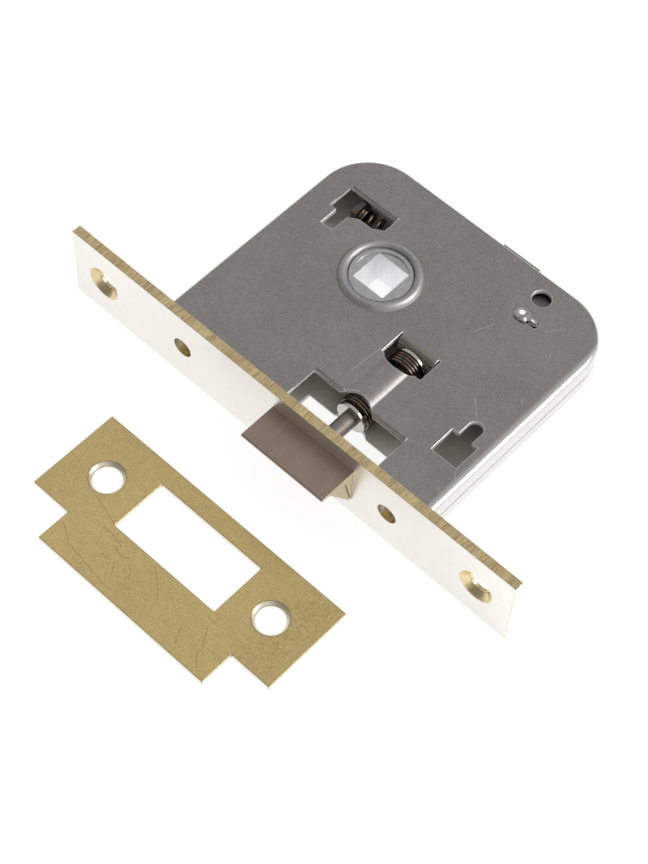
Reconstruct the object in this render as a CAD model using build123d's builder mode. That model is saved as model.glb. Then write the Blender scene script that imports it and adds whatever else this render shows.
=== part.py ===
"""Mortise door latch with its strike plate, as it lies on a table.

X runs along the faceplate, Y from the faceplate into the door, Z through the door's thickness.
The origin is the middle of the faceplate's back face, between its two screw holes.
All sizes are in millimetres.
"""

import os
from math import cos, radians, sin

from build123d import *

# Faceplate
faceplate_length = 120.0
faceplate_width = 20.0
faceplate_thickness = 2.2
screw_spacing = 102.6
screw_hole_diameter = 5.2
screw_head_diameter = 8.0
countersink_angle = 90.0

# Rivets that join the faceplate to the ears of the case
rivet_spacing = 56.4
rivet_diameter = 4.6
rivet_fit = 0.05
rivet_recess = 1.6
rivet_head_diameter = 6.4
rivet_head_thickness = 1.0

# Case of two pressed half shells
case_length = 72.0
case_depth = 62.0
case_thickness = 8.9
sheet = 1.2
bend_radius = 1.4
corner_radius = 12.7
seam_gap = 0.2
ear_width = 9.0
ear_clearance = 0.25

# Follower and its place in the case, with the backset counted from the faceplate's front
backset = 39.6
follower_x = -9.4
spindle_square = 8.2
hub_diameter = 13.6
hub_clearance = 0.3
hub_proud = 0.3
hub_rim_width = 0.9
hub_rim_height = 0.35
collar_width = 1.85
collar_height = 0.9
collar_chamfer = 0.6
shoulder_width = 1.6
inner_clearance = 0.35
turn_angle = 42.0

# Follower arm that draws the bolt
arm_nose_radius = 2.6
arm_neck_radius = 1.4
arm_root_radius = 4.0
arm_play = 0.3

# Follower arm that works against the return spring
short_arm_reach = 11.4
short_nose_radius = 2.3
short_neck_radius = 0.9
short_root_radius = 3.0

# Latch bolt, with its bevel and the lip at its tip below and its flat side above
bolt_x = 8.1
bolt_width = 21.8
bolt_thickness = 10.4
bolt_projection = 9.0
bolt_rear = 1.2
bolt_heel = 0.1
bolt_lip = 0.8
bolt_lip_length = 2.3
bolt_lip_radius = 0.3
bolt_hollow_radius = 2.0
bolt_slot_clearance = 0.4
bevel_start = 0.4
end_line_front = 1.9
end_line_top = 2.4
end_line_width = 0.35
end_line_depth = 0.3
stop_width = 1.7
stop_clearance = 0.3

# Stem, its washer and the bolt spring
stem_diameter = 3.7
stem_neck_diameter = 2.9
stem_socket = 2.0
stem_clearance = 0.3
stem_fit = 0.05
spring_front = 10.0
spring_rear = 27.0
spring_diameter = 8.2
spring_wire = 0.7
spring_turns = 9
washer_diameter = 7.4
seat_washer_diameter = 8.4
washer_thickness = 0.8

# Flats round each ridge of a coil sleeve
coil_flat_count = 8

# Tail plate at the end of the stem
tail_left = 1.0
tail_right = 11.6
tail_thickness = 3.0
tail_pin_diameter = 2.5
tail_head_diameter = 4.4
tail_head_thickness = 0.8
tail_corner = 0.8

# Return spring and the plunger between it and the follower
return_spring_diameter = 5.0
return_spring_wire = 0.7
return_spring_turns = 7
return_seat_x = -25.0
plunger_length = 3.0
plunger_width = 4.6
plunger_play = 0.3
spigot_diameter = 2.6
spigot_length = 2.4

# Pressed channel for the bolt spring
channel_clearance = 0.3
channel_wall = 1.1
channel_blend = 0.9
channel_draw = 1.8

# Front window, cut in both shells, that the bolt slides back into, with a rolled edge at its rear
front_window_left = -3.3
front_window_right = 21.1
front_window_rear = 10.6
lower_window_rear = 9.3
window_roll_radius = 1.0

# Window of the spring seat, in the cover, with the seat folded down at its rear edge
seat_window_left = 3.4
seat_window_right = 13.7
seat_window_front = 23.6
seat_side_gap = 0.4
seat_mouth_width = 8.2
seat_fold_radius = 1.8
seat_relief = 2.1

# Hooked window above the return spring, in the cover, with a rolled edge at its rear
hook_left = -29.7
hook_right = -16.7
hook_rear = 50.4
hook_slot = 5.2
hook_leg_inset = 1.8
hook_leg_width = 3.0
hook_leg_front = 39.0
hook_shoulder = 1.4
hook_corner_cut = 2.4
hook_roll_radius = 0.9

# Arrow shaped window in the cover
arrow_side_inset = 3.4
arrow_width = 6.5
arrow_front = 13.0
arrow_depth = 6.4
arrow_neck_width = 3.3
arrow_neck_length = 4.8

# Round hole and staked tongue near the rear corner
rear_hole_x = 18.4
rear_hole_inset = 5.6
rear_hole_diameter = 4.2
stake_x = 19.4
stake_inset = 11.7
stake_slot_length = 5.6
stake_slot_width = 1.6
stake_tongue_width = 3.2
stake_fit = 0.1
stake_head_length = 3.2
stake_head_width = 2.6
stake_head_height = 0.6
stake_head_corner = 0.9
stake_head_chamfer = 0.35

# Tongue of the lower shell that laps the rear wall of the cover
lap_left = 3.2
lap_width = 9.8
lap_rise = 3.1
lap_thickness = 0.9
lap_round = 0.5

# Strike plate, lying flat in front of the latch
strike_x = 1.85
strike_y = -31.05
strike_length = 65.5
strike_width = 21.9
strike_thickness = 1.2
strike_lip_length = 45.5
strike_lip_reach = 8.05
strike_hole_length = 27.7
strike_hole_width = 13.2
strike_screw_spacing = 45.7
strike_screw_diameter = 6.2
strike_screw_head_diameter = 7.8

# Half of the band in which an edge to be rounded is looked up
edge_band = 0.01

# Sizes that follow from the ones above
case_rear = case_depth
follower_y = backset - faceplate_thickness
case_half = case_thickness / 2
inner_half = case_half - sheet
moving_half = inner_half - inner_clearance
floor_z = -faceplate_width / 2
hub_radius = hub_diameter / 2
hub_hole_radius = hub_radius + hub_clearance
hub_top = case_half + hub_proud
half_turn = radians(turn_angle / 2)
arm_reach = bolt_projection / (2 * sin(half_turn))
short_travel = 2 * short_arm_reach * sin(half_turn)
return_axis_y = follower_y + short_arm_reach
plunger_face = follower_x + short_arm_reach * sin(half_turn) - short_nose_radius - plunger_play
plunger_rear = plunger_face - plunger_length
arm_nose_y = follower_y - arm_reach * sin(half_turn)
tail_front = arm_nose_y + arm_nose_radius + arm_play
tail_rear = tail_front + tail_thickness
bolt_tip = -faceplate_thickness - bolt_projection
stem_radius = stem_diameter / 2
stem_neck_radius = stem_neck_diameter / 2
stem_front = bolt_rear - stem_socket
washer_front = spring_front - washer_thickness
seat_front = spring_rear + washer_thickness
seat_rear = seat_front + sheet
relief_rear = seat_front + seat_relief
channel_inner = spring_diameter / 2 + channel_clearance
channel_outer = channel_inner + channel_wall
rivet_hole_radius = rivet_diameter / 2 + rivet_fit
ear_reach = inner_half - ear_clearance
arrow_right = case_length / 2 - arrow_side_inset
arrow_left = arrow_right - arrow_width
rear_hole_y = case_rear - rear_hole_inset
stake_y = case_rear - stake_inset


def tray(window_rear, channel_end):
    """One half shell with the features that both shells share, modelled as the upper one."""
    base = seam_gap / 2
    with BuildPart() as half:
        with BuildSketch(Plane.XY.offset(base)) as outline:
            with Locations((0, case_depth / 2)):
                Rectangle(case_length, case_depth)
            fillet(outline.vertices().group_by(Axis.Y)[-1], corner_radius)
        extrude(amount=case_half - base)
        rim = half.faces().sort_by(Axis.Z)[-1].edges().sort_by(Axis.Y)[1:]
        fillet(rim, bend_radius)
        # Half-round channel pressed outwards over the bolt spring
        with BuildSketch(Plane.XZ.offset(-channel_end)):
            with Locations((bolt_x, 0)):
                Circle(channel_outer)
            with Locations((bolt_x, case_half / 2)):
                Rectangle(
                    2 * channel_outer,
                    channel_outer,
                    align=(Align.CENTER, Align.MIN),
                    mode=Mode.INTERSECT,
                )
        extrude(amount=channel_end - window_rear)
        foot = half.edges().filter_by(Axis.Y)
        foot = foot.filter_by_position(Axis.Z, case_half - edge_band, case_half + edge_band)
        foot = foot.filter_by_position(Axis.X, bolt_x - channel_outer, bolt_x + channel_outer)
        fillet(foot, channel_blend)
        # Collar that bears the follower's hub
        with BuildSketch(Plane.XY.offset(case_half)):
            with Locations((follower_x, follower_y)):
                Circle(hub_hole_radius + collar_width)
        extrude(amount=collar_height)
        chamfer(half.faces().filter_by(GeomType.PLANE).sort_by(Axis.Z)[-1].edges(), collar_chamfer)
        # Hollow of the tray, open towards the faceplate
        with BuildSketch(Plane.XY) as hollow:
            with Locations((0, case_rear - sheet)):
                Rectangle(case_length - 2 * sheet, case_depth, align=(Align.CENTER, Align.MAX))
            fillet(hollow.vertices().group_by(Axis.Y)[-1], corner_radius - sheet)
        extrude(amount=inner_half, mode=Mode.SUBTRACT)
        with BuildSketch(Plane.XZ.offset(-(channel_end - sheet))):
            with Locations((bolt_x, 0)):
                Circle(channel_inner)
        extrude(amount=channel_end - sheet, mode=Mode.SUBTRACT)
        # Bearing hole
        with BuildSketch(Plane.XY):
            with Locations((follower_x, follower_y)):
                Circle(hub_hole_radius)
        extrude(amount=case_thickness, mode=Mode.SUBTRACT)
        # Front window, with the drawn-in mouth of the channel
        with BuildSketch(Plane.XY):
            with BuildLine():
                Polyline(
                    (bolt_x - channel_inner, window_rear),
                    (front_window_left, window_rear),
                    (front_window_left, 0),
                    (front_window_right, 0),
                    (front_window_right, window_rear),
                    (bolt_x + channel_inner, window_rear),
                )
                ThreePointArc(
                    (bolt_x + channel_inner, window_rear),
                    (bolt_x, window_rear + channel_draw),
                    (bolt_x - channel_inner, window_rear),
                )
            make_face()
        extrude(amount=case_thickness, mode=Mode.SUBTRACT)
        roll = half.edges().filter_by(Axis.X)
        roll = roll.filter_by_position(Axis.Y, window_rear - edge_band, window_rear + edge_band)
        roll = roll.filter_by_position(Axis.Z, case_half - edge_band, case_half + edge_band)
        fillet(roll, window_roll_radius)
    return half.part


def ears(back, top, bottom):
    """The two front ears of a shell, folded across the case behind the faceplate, with their rivet holes."""
    with BuildPart() as pair:
        with BuildSketch(Plane.XZ.offset(-(back + sheet))):
            with Locations((-rivet_spacing / 2, (top + bottom) / 2), (rivet_spacing / 2, (top + bottom) / 2)):
                Rectangle(ear_width, top - bottom)
            with GridLocations(rivet_spacing, 0, 2, 1):
                Circle(rivet_hole_radius, mode=Mode.SUBTRACT)
        extrude(amount=sheet)
    return pair.part


def coil_sleeve(plane, length, diameter, wire, turns):
    """A coil spring as one closed sleeve with a ridge for each turn, its axis along the plane's normal."""
    radius = diameter / 2
    step = length / (2 * turns)
    with BuildPart() as sleeve:
        for station in range(2 * turns + 1):
            with BuildSketch(plane.offset(station * step)):
                RegularPolygon(radius if station % 2 else radius - wire / 2, coil_flat_count)
        loft(ruled=True)
        with BuildSketch(plane):
            RegularPolygon(radius - wire, coil_flat_count)
        extrude(amount=length, mode=Mode.SUBTRACT)
    return sleeve.part


# Faceplate with countersunk screw holes, rivet holes and the slot for the bolt
with BuildPart() as faceplate:
    with BuildSketch(Plane.XZ):
        Rectangle(faceplate_length, faceplate_width)
        with GridLocations(rivet_spacing, 0, 2, 1):
            Circle(rivet_hole_radius, mode=Mode.SUBTRACT)
        with Locations((bolt_x, 0)):
            Rectangle(
                bolt_width + 2 * bolt_slot_clearance,
                bolt_thickness + 2 * bolt_slot_clearance,
                mode=Mode.SUBTRACT,
            )
    extrude(amount=faceplate_thickness)
    with Locations(Plane.XZ.offset(faceplate_thickness)):
        with GridLocations(screw_spacing, 0, 2, 1):
            CounterSinkHole(
                screw_hole_diameter / 2,
                screw_head_diameter / 2,
                depth=faceplate_thickness,
                counter_sink_angle=countersink_angle,
            )

# Rivets, set below the front of the faceplate and headed inside the case
with BuildPart() as faceplate_rivets:
    with BuildSketch(Plane.XZ.offset(-2 * sheet)):
        with GridLocations(rivet_spacing, 0, 2, 1):
            Circle(rivet_diameter / 2)
    extrude(amount=2 * sheet + faceplate_thickness - rivet_recess)
    with BuildSketch(Plane.XZ.offset(-(2 * sheet + rivet_head_thickness))):
        with GridLocations(rivet_spacing, 0, 2, 1):
            Circle(rivet_head_diameter / 2)
    extrude(amount=rivet_head_thickness)

# Lower shell, with the lugs that stand up from its floor
with BuildPart() as case_body:
    add(mirror(tray(lower_window_rear, seat_rear), about=Plane.XY, mode=Mode.PRIVATE))
    add(ears(0, ear_reach, -inner_half))
    # Seat of the return spring
    with BuildSketch(Plane.XY.offset(-inner_half)):
        with Locations((return_seat_x - sheet / 2, return_axis_y)):
            Rectangle(sheet, plunger_width)
    extrude(amount=inner_half + moving_half)
    # Guide behind the plunger
    guide_left = return_seat_x - sheet
    guide_front = return_axis_y + plunger_width / 2 + plunger_play
    with BuildSketch(Plane.XY.offset(-inner_half)):
        with Locations((guide_left, guide_front)):
            Rectangle(plunger_face - guide_left, sheet, align=(Align.MIN, Align.MIN))
    extrude(amount=inner_half + moving_half)
    # Tongue through the cover, with its staked head
    with BuildSketch(Plane.XY.offset(-inner_half)):
        with Locations((stake_x - stake_slot_length / 2 + stake_fit, stake_y)):
            Rectangle(stake_tongue_width, stake_slot_width - 2 * stake_fit, align=(Align.MIN, Align.CENTER))
    extrude(amount=inner_half + case_half)
    with BuildSketch(Plane.XY.offset(case_half)):
        with Locations((stake_x - stake_slot_length / 2 + stake_fit + stake_tongue_width / 2, stake_y)):
            RectangleRounded(stake_head_length, stake_head_width, stake_head_corner)
    extrude(amount=stake_head_height)
    chamfer(case_body.faces().sort_by(Axis.Z)[-1].edges(), stake_head_chamfer)
    # Tongue that laps the rear wall
    with BuildSketch(Plane.XZ.offset(-(case_rear + lap_thickness))):
        with Locations((lap_left + lap_width / 2, 0)):
            Rectangle(lap_width, 2 * lap_rise)
    extrude(amount=lap_thickness)
    fillet(case_body.faces().sort_by(Axis.Y)[-1].edges().filter_by(Axis.X), lap_round)

# Upper shell, with the windows that show the mechanism
with BuildPart() as case_cover:
    add(tray(front_window_rear, seat_window_front + sheet))
    add(ears(sheet, inner_half, -ear_reach))
    # Window of the spring seat, with the drawn-in end of the channel and a relief beside each end of the fold
    fold_left = seat_window_left + seat_side_gap
    fold_right = seat_window_right - seat_side_gap
    with BuildSketch(Plane.XY):
        with BuildLine():
            Polyline(
                (bolt_x - seat_mouth_width / 2, seat_window_front),
                (seat_window_left, seat_window_front),
                (seat_window_left, relief_rear),
                (fold_left, relief_rear),
                (fold_left, seat_front),
                (fold_right, seat_front),
                (fold_right, relief_rear),
                (seat_window_right, relief_rear),
                (seat_window_right, seat_window_front),
                (bolt_x + seat_mouth_width / 2, seat_window_front),
            )
            ThreePointArc(
                (bolt_x + seat_mouth_width / 2, seat_window_front),
                (bolt_x, seat_window_front - channel_draw),
                (bolt_x - seat_mouth_width / 2, seat_window_front),
            )
        make_face()
    extrude(amount=case_thickness, mode=Mode.SUBTRACT)
    # Spring seat folded down at the window's rear edge, with the hole for the stem
    with BuildSketch(Plane.XZ.offset(-seat_rear)):
        with Locations((fold_left, -moving_half)):
            Rectangle(fold_right - fold_left, case_half + moving_half, align=(Align.MIN, Align.MIN))
        with Locations((bolt_x, 0)):
            Circle(stem_neck_radius + stem_clearance, mode=Mode.SUBTRACT)
    extrude(amount=sheet)
    fold = case_cover.edges().filter_by(Axis.X)
    fold = fold.filter_by_position(Axis.Y, seat_front - edge_band, seat_front + edge_band)
    fold = fold.filter_by_position(Axis.Z, case_half - edge_band, case_half + edge_band)
    fold = fold.filter_by_position(Axis.X, fold_left, fold_right)
    fillet(fold, seat_fold_radius)
    # Hooked window
    leg_left = hook_left + hook_leg_inset
    slot_front = hook_rear - hook_slot
    with BuildSketch(Plane.XY):
        with BuildLine():
            Polyline(
                (hook_left, hook_rear),
                (hook_left, slot_front - hook_shoulder),
                (leg_left, slot_front - hook_shoulder),
                (leg_left, hook_leg_front),
                (leg_left + hook_leg_width, hook_leg_front),
                (leg_left + hook_leg_width, slot_front - hook_shoulder),
                (leg_left + hook_leg_width + hook_corner_cut, slot_front),
                (hook_right - hook_corner_cut, slot_front),
                (hook_right, slot_front + hook_shoulder),
                (hook_right, hook_rear),
                close=True,
            )
        make_face()
    extrude(amount=case_thickness, mode=Mode.SUBTRACT)
    hook_edge = case_cover.edges().filter_by(Axis.X)
    hook_edge = hook_edge.filter_by_position(Axis.Y, hook_rear - edge_band, hook_rear + edge_band)
    hook_edge = hook_edge.filter_by_position(Axis.Z, case_half - edge_band, case_half + edge_band)
    fillet(hook_edge, hook_roll_radius)
    # Arrow shaped window
    arrow_middle = (arrow_left + arrow_right) / 2
    with BuildSketch(Plane.XY):
        with Locations((arrow_left, arrow_front)):
            Rectangle(arrow_width, arrow_depth, align=(Align.MIN, Align.MIN))
        with Locations((arrow_middle, arrow_front + arrow_depth / 2)):
            neck = arrow_depth / 2 + arrow_neck_length - arrow_neck_width / 2
            Rectangle(arrow_neck_width, neck, align=(Align.CENTER, Align.MIN))
        with Locations((arrow_middle, arrow_front + arrow_depth + arrow_neck_length - arrow_neck_width / 2)):
            Circle(arrow_neck_width / 2)
        with Locations((rear_hole_x, rear_hole_y)):
            Circle(rear_hole_diameter / 2)
        with Locations((stake_x, stake_y)):
            Rectangle(stake_slot_length, stake_slot_width)
    extrude(amount=case_thickness, mode=Mode.SUBTRACT)

# Latch bolt, drawn as its side view and extruded along the faceplate
with BuildPart() as latch_bolt:
    bolt_half = bolt_thickness / 2
    bolt_end = bolt_x + bolt_width / 2
    lip_root = (bolt_tip + bolt_lip_length, bolt_half - bolt_lip)
    with BuildSketch(Plane.YZ.offset(bolt_x - bolt_width / 2)) as side:
        with BuildLine():
            Polyline(
                (bolt_rear, bolt_half),
                (bolt_tip, bolt_half),
                (bolt_tip, bolt_half - bolt_lip),
                lip_root,
                (-faceplate_thickness - bevel_start, -bolt_half),
                (bolt_heel, -bolt_half),
                (bolt_heel, -moving_half),
                (bolt_rear, -moving_half),
                close=True,
            )
        make_face()
        fillet(side.vertices().group_by(Axis.X)[0], bolt_lip_radius)
        fillet(side.vertices().sort_by_distance(lip_root)[0], bolt_hollow_radius)
    extrude(amount=bolt_width)
    # Stop that meets the back of the faceplate
    with BuildSketch(Plane.XZ.offset(-bolt_rear)):
        with Locations((bolt_end, -moving_half)):
            Rectangle(stop_width, bolt_half + moving_half, align=(Align.MIN, Align.MIN))
    extrude(amount=bolt_rear - stop_clearance)
    # Line scored down the right end
    with BuildSketch(Plane.YZ.offset(bolt_end - end_line_depth)):
        with BuildLine():
            Polyline(
                (-faceplate_thickness - end_line_front - end_line_width, bolt_half - end_line_top),
                (-faceplate_thickness - end_line_front, bolt_half - end_line_top),
                (-faceplate_thickness, -bolt_half),
                (-faceplate_thickness - end_line_width, -bolt_half),
                close=True,
            )
        make_face()
    extrude(amount=end_line_depth, mode=Mode.SUBTRACT)
    with BuildSketch(Plane.XZ.offset(-bolt_rear)):
        with Locations((bolt_x, 0)):
            Circle(stem_radius + stem_fit)
    extrude(amount=stem_socket, mode=Mode.SUBTRACT)

# Stem, turned with a shoulder for its washer and a riveted end behind
with BuildPart() as bolt_stem:
    with BuildSketch(Plane(origin=(bolt_x, 0, 0), x_dir=(1, 0, 0), z_dir=(0, 0, 1))):
        with BuildLine():
            Polyline(
                (0, stem_front),
                (stem_radius, stem_front),
                (stem_radius, washer_front),
                (stem_neck_radius, washer_front),
                (stem_neck_radius, tail_front),
                (tail_pin_diameter / 2, tail_front),
                (tail_pin_diameter / 2, tail_rear),
                (tail_head_diameter / 2, tail_rear),
                (tail_head_diameter / 2, tail_rear + tail_head_thickness / 2),
                (tail_head_diameter / 2 - tail_head_thickness / 2, tail_rear + tail_head_thickness),
                (0, tail_rear + tail_head_thickness),
                close=True,
            )
        make_face()
    revolve(axis=Axis((bolt_x, 0, 0), (0, 1, 0)))

# Washers at the two ends of the bolt spring
with BuildPart() as stem_washer:
    with BuildSketch(Plane.XZ.offset(-spring_front)):
        with Locations((bolt_x, 0)):
            Circle(washer_diameter / 2)
            Circle(stem_neck_radius + stem_fit, mode=Mode.SUBTRACT)
    extrude(amount=washer_thickness)

with BuildPart() as seat_washer:
    with BuildSketch(Plane.XZ.offset(-seat_front)):
        with Locations((bolt_x, 0)):
            Circle(seat_washer_diameter / 2)
            Circle(stem_neck_radius + stem_clearance, mode=Mode.SUBTRACT)
    extrude(amount=washer_thickness)

# Bolt spring between the washers
with BuildPart() as bolt_spring:
    spring_plane = Plane(origin=(bolt_x, spring_front, 0), x_dir=(1, 0, 0), z_dir=(0, 1, 0))
    add(coil_sleeve(spring_plane, spring_rear - spring_front, spring_diameter, spring_wire, spring_turns))

# Tail plate that the follower's arm draws back
with BuildPart() as tail_plate:
    with BuildSketch(Plane.XY.offset(-moving_half)) as tail_outline:
        with Locations((tail_left, tail_front)):
            Rectangle(tail_right - tail_left, tail_thickness, align=(Align.MIN, Align.MIN))
        fillet(tail_outline.vertices(), tail_corner)
    extrude(amount=2 * moving_half)
    with BuildSketch(Plane.XZ.offset(-tail_rear)):
        with Locations((bolt_x, 0)):
            Circle(tail_pin_diameter / 2 + stem_fit)
    extrude(amount=tail_thickness, mode=Mode.SUBTRACT)

# Follower with its hub, its shoulder between the shells and its two arms
with BuildPart() as follower:
    with BuildSketch(Plane.XY.offset(-moving_half)):
        with Locations((follower_x, follower_y)):
            Circle(hub_hole_radius + shoulder_width)
    extrude(amount=2 * moving_half)
    arm_tip = (follower_x + arm_reach * cos(half_turn), arm_nose_y)
    short_tip = (follower_x + short_arm_reach * sin(half_turn), follower_y + short_arm_reach * cos(half_turn))
    for tip, root, neck, nose in (
        (arm_tip, arm_root_radius, arm_neck_radius, arm_nose_radius),
        (short_tip, short_root_radius, short_neck_radius, short_nose_radius),
    ):
        with BuildSketch(Plane.XY.offset(-moving_half)):
            with Locations((follower_x, follower_y)):
                Circle(root)
            with Locations(tip):
                Circle(neck)
            make_hull()
            with Locations(tip):
                Circle(nose)
        extrude(amount=2 * moving_half)
    with BuildSketch(Plane.XY.offset(-hub_top)):
        with Locations((follower_x, follower_y)):
            Circle(hub_radius)
    extrude(amount=2 * hub_top)
    for face_z in (hub_top - hub_rim_height, -hub_top):
        with BuildSketch(Plane.XY.offset(face_z)):
            with Locations((follower_x, follower_y)):
                Circle(hub_radius - hub_rim_width)
        extrude(amount=hub_rim_height, mode=Mode.SUBTRACT)
    with BuildSketch(Plane.XY.offset(-hub_top)):
        with Locations((follower_x, follower_y)):
            Rectangle(spindle_square, spindle_square)
    extrude(amount=2 * hub_top, mode=Mode.SUBTRACT)

# Plunger between the short arm and the return spring
with BuildPart() as return_plunger:
    with BuildSketch(Plane.XY.offset(-moving_half)):
        with Locations((plunger_rear, return_axis_y)):
            Rectangle(plunger_length, plunger_width, align=(Align.MIN, Align.CENTER))
    extrude(amount=2 * moving_half)
    with BuildSketch(Plane.YZ.offset(plunger_rear - spigot_length)):
        with Locations((return_axis_y, 0)):
            Circle(spigot_diameter / 2)
    extrude(amount=spigot_length)

# Return spring between its seat and the plunger
with BuildPart() as return_spring:
    return_plane = Plane(origin=(return_seat_x, return_axis_y, 0), x_dir=(0, 1, 0), z_dir=(1, 0, 0))
    add(
        coil_sleeve(
            return_plane,
            plunger_rear - return_seat_x,
            return_spring_diameter,
            return_spring_wire,
            return_spring_turns,
        )
    )

# Strike plate with its lip, the opening for the bolt and countersunk screw holes
with BuildPart() as strike_plate:
    with BuildSketch(Plane.XY.offset(floor_z)):
        with Locations((strike_x, strike_y)):
            Rectangle(strike_length, strike_width)
        with Locations((strike_x, strike_y - strike_width / 2)):
            Rectangle(strike_lip_length, 2 * strike_lip_reach)
        with Locations((strike_x, strike_y)):
            Rectangle(strike_hole_length, strike_hole_width, mode=Mode.SUBTRACT)
    extrude(amount=strike_thickness)
    with Locations(Plane.XY.offset(floor_z + strike_thickness)):
        with Locations((strike_x, strike_y)):
            with GridLocations(strike_screw_spacing, 0, 2, 1):
                CounterSinkHole(
                    strike_screw_diameter / 2,
                    strike_screw_head_diameter / 2,
                    depth=strike_thickness,
                    counter_sink_angle=countersink_angle,
                )

pieces = {
    "faceplate": faceplate,
    "faceplate_rivets": faceplate_rivets,
    "case_body": case_body,
    "case_cover": case_cover,
    "latch_bolt": latch_bolt,
    "bolt_stem": bolt_stem,
    "stem_washer": stem_washer,
    "bolt_spring": bolt_spring,
    "seat_washer": seat_washer,
    "tail_plate": tail_plate,
    "follower": follower,
    "return_plunger": return_plunger,
    "return_spring": return_spring,
    "strike_plate": strike_plate,
}

os.makedirs("parts", exist_ok=True)
for name, piece in pieces.items():
    piece.part.label = name
    export_step(piece.part, f"parts/{name}.step")
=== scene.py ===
"""Looks of a mortise door latch and its strike plate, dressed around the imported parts."""

import math

import bpy
from bpy.props import FloatProperty, FloatVectorProperty, IntProperty, PointerProperty
from mathutils import Matrix, Vector


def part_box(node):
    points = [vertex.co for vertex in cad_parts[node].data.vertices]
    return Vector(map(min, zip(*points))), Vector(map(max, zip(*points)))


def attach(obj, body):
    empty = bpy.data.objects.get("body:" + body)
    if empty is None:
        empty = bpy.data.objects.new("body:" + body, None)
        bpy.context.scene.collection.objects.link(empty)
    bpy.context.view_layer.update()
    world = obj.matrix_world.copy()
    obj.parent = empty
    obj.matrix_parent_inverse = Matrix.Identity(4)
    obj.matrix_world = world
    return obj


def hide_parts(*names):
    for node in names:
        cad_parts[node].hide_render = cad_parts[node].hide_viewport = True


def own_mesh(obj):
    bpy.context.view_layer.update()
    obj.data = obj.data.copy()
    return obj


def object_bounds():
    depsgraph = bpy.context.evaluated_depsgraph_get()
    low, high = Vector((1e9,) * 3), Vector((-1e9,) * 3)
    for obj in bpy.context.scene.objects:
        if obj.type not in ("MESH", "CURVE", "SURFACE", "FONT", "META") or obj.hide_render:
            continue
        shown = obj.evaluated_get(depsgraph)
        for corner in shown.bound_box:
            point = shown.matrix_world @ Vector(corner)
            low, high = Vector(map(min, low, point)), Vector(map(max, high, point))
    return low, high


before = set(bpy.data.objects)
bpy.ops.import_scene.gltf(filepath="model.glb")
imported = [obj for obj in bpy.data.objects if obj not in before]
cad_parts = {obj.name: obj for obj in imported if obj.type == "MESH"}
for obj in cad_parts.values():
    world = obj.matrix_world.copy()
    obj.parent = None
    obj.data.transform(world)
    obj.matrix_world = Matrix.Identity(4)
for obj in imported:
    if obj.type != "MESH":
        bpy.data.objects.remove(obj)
cad_low, cad_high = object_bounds()

bl_info = {
    "name": "Door latch",
    "version": (1, 0, 0),
    "blender": (4, 5, 0),
    "location": "View3D > Sidebar > Latch",
    "description": "Dresses a mortise door latch and its strike plate",
    "category": "Object",
}

MM = 0.001

# Photograph's frame in pixels, and the camera found for it, in millimetres
FRAME_HEIGHT = 864
FOCAL_PIXELS = 2113.7
SENSOR = 36.0
CAMERA_PLACE = (150.436, -170.689, 358.535)
CAMERA_LOOK = (-0.33975, 0.41033, -0.84629)
CAMERA_RIGHT = (0.73141, 0.68096, 0.03655)

# Places on the latch in its own frame, in millimetres. The case has its height from the middle to
# its face, the half sizes of its hollow, the middle of its rounded rear corners with their radius
# inside, and the strip along its right bend that gets a painted highlight
CASE_FACE = 4.45
CASE_INSIDE = (34.86, 60.86, 3.3)
CORNER = (23.3, 49.3, 10.0)
CORNER_INSIDE = 12.1
BEND_FROM = 33.6
BEND_TO = 35.2
BOLT_X = 8.1
BOLT_HALF = (10.9, 5.2)
CHANNEL_INSIDE = 4.45
FOLLOWER_AXIS = (-9.4, 37.4)
SQUARE_HALF = 4.16
SCREW_X = 51.3
SCREW_SINK = 4.05
REAR_HOLE = (18.4, 56.3)

# Boxes round parts of the case, by their middle and half sizes in millimetres
SEAT_FOLD = ((8.55, 28.5, 2.2), (5.3, 1.5, 2.4))
CHANNEL_BOX = ((BOLT_X, 13.0, 0.0), (5.0, 14.0, 6.0))
WINDOW_BOX = ((0.0, 26.8, 0.0), (32.5, 27.2, 6.0))
REAR_HOLE_BOX = ((*REAR_HOLE, 0.0), (2.6, 2.6, 6.0))
# The spring lug's box gets a painted shade
SPRING_LUG = ((-25.6, 48.8, 0.0), (0.75, 6.0, 3.4))

# Section of the collar round the follower: distance from the axis, height above the case, and
# the lean of its rolled surface in degrees, outwards or inwards
COLLAR_SECTION = (
    (9.4, -0.03, 58),
    (9.25, 0.02, 58),
    (9.1, 0.14, 57),
    (8.95, 0.32, 55),
    (8.78, 0.54, 48),
    (8.58, 0.77, 38),
    (8.32, 0.95, 25),
    (8.05, 1.02, 2),
    (7.8, 1.02, -20),
    (7.55, 1.0, -31),
    (7.34, 0.97, -38),
    (7.15, 0.93, -46),
    (7.05, 0.8, -66),
    (7.02, 0.3, -85),
)

# Section of the post under the rear hole: distance from its axis and height
POST_SECTION = ((2.7, -3.4), (2.7, 2.05), (2.62, 2.25), (2.4, 2.38), (2.1, 2.42))

# Dome and toe of the beaten tip: middle, half length, half width and height, and then the hammer's
# marks, each with its middle and half sizes
STAKE_DOME = ((18.3, 50.3), 1.95, 1.6, 1.0, (((17.84, 50.38), 1.25, 1.0), ((19.45, 49.55), 0.5, 0.5)))
STAKE_TOE = ((20.75, 50.35), 1.5, 0.85, 0.3, (((20.6, 50.6), 1.35, 0.45),))
STAKE_SINK = 0.05
STAKE_ROUND = 2.6

# Crease across the dome: a point on it, its slope and its half width
CREASE_PLACE = (18.85, 50.3)
CREASE_SLOPE = 0.35
CREASE_HALF = 0.22

# Way that the beaten faces lean: the hammer's marks, the crease and the toe
MARK_LEAN = (0.602, 0, 0.798)
CREASE_LEAN = (0.9, 0, 0)
TOE_LEAN = (-0.9, 0.1, 0.5)

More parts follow.
